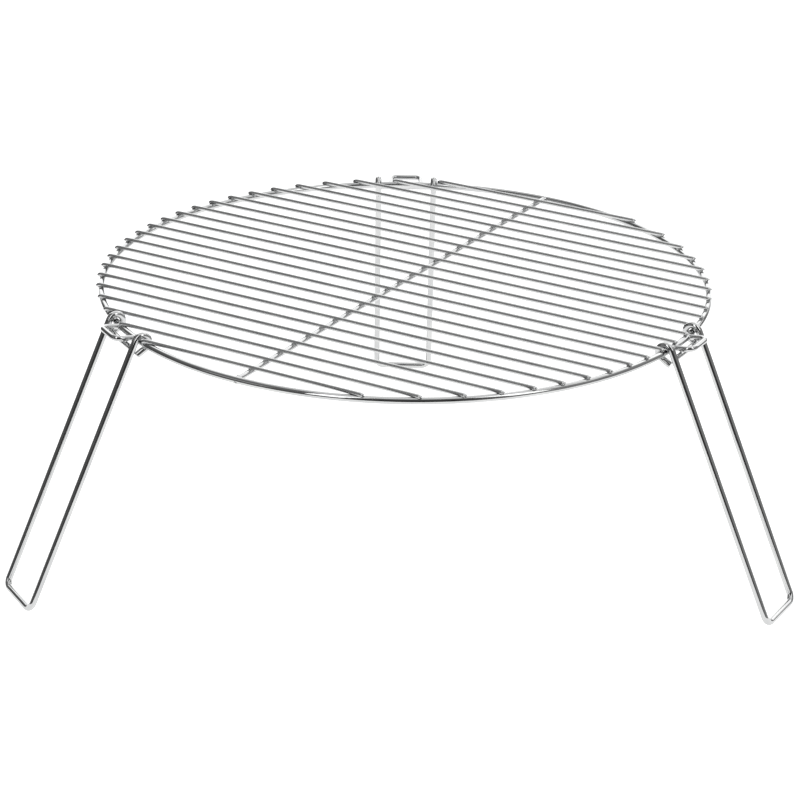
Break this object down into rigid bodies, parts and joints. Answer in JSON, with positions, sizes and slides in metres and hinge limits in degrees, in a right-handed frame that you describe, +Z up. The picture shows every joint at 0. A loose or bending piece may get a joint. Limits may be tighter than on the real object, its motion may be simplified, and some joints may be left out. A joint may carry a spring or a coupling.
{
  "type": "folding camp grill",
  "caption": "Round chromed wire camp grill: parallel grate bars on a ring rim, standing on hooked-on wire legs that fold flat underneath.",
  "frame": {"origin": "middle of the grill's footprint on the ground, legs unfolded", "axes": "+Z up; +Y towards the rear leg; +X to the right, across the two front legs. The grate leans 0.6 degrees towards -Y, because the rear leg stands a little steeper"},
  "size_m": [0.6282, 0.5892, 0.2235],
  "materials": {
    "rim_chrome": "bright chrome plating on drawn steel wire",
    "bar_chrome": "bright chrome plating on thin drawn steel wire",
    "leg_chrome": "bright chrome plating on drawn steel wire"
  },
  "bodies": {
    "grate": {"rim_ring": "rim_chrome", "cross_rod": "rim_chrome", "grate_bar_01": "bar_chrome", "grate_bar_02": "bar_chrome", "grate_bar_03": "bar_chrome", "grate_bar_04": "bar_chrome", "grate_bar_05": "bar_chrome", "grate_bar_06": "bar_chrome", "grate_bar_07": "bar_chrome", "grate_bar_08": "bar_chrome", "grate_bar_09": "bar_chrome", "grate_bar_10": "bar_chrome", "grate_bar_11": "bar_chrome", "grate_bar_12": "bar_chrome", "grate_bar_13": "bar_chrome", "grate_bar_14": "bar_chrome", "grate_bar_15": "bar_chrome", "grate_bar_16": "bar_chrome", "grate_bar_17": "bar_chrome", "grate_bar_18": "bar_chrome", "grate_bar_19": "bar_chrome", "grate_bar_20": "bar_chrome", "grate_bar_21": "bar_chrome", "grate_bar_22": "bar_chrome", "grate_bar_23": "bar_chrome", "grate_bar_24": "bar_chrome", "left_leg_bracket": "rim_chrome", "right_leg_bracket": "rim_chrome", "rear_leg_bracket": "rim_chrome"},
    "left_leg": {"left_leg_wire": "leg_chrome", "left_leg_stop_bar": "leg_chrome"},
    "right_leg": {"right_leg_wire": "leg_chrome", "right_leg_stop_bar": "leg_chrome"},
    "rear_leg": {"rear_leg_wire": "leg_chrome", "rear_leg_stop_bar": "leg_chrome"}
  },
  "joints": [
    {"name": "left_leg_fold", "type": "hinge", "parent": "grate", "child": "left_leg", "pos_m": [-0.21327, -0.1663, 0.21107], "axis": [0.4955, -0.8686, -0.009], "range_deg": [0, 109]},
    {"name": "right_leg_fold", "type": "hinge", "parent": "grate", "child": "right_leg", "pos_m": [0.21342, -0.16742, 0.21106], "axis": [0.5, 0.866, 0.0089], "range_deg": [0, 112]},
    {"name": "rear_leg_fold", "type": "hinge", "parent": "grate", "child": "rear_leg", "pos_m": [-0.00046, 0.20153, 0.21486], "axis": [-1, -0.0035, 0], "range_deg": [0, 107]}
  ]
}
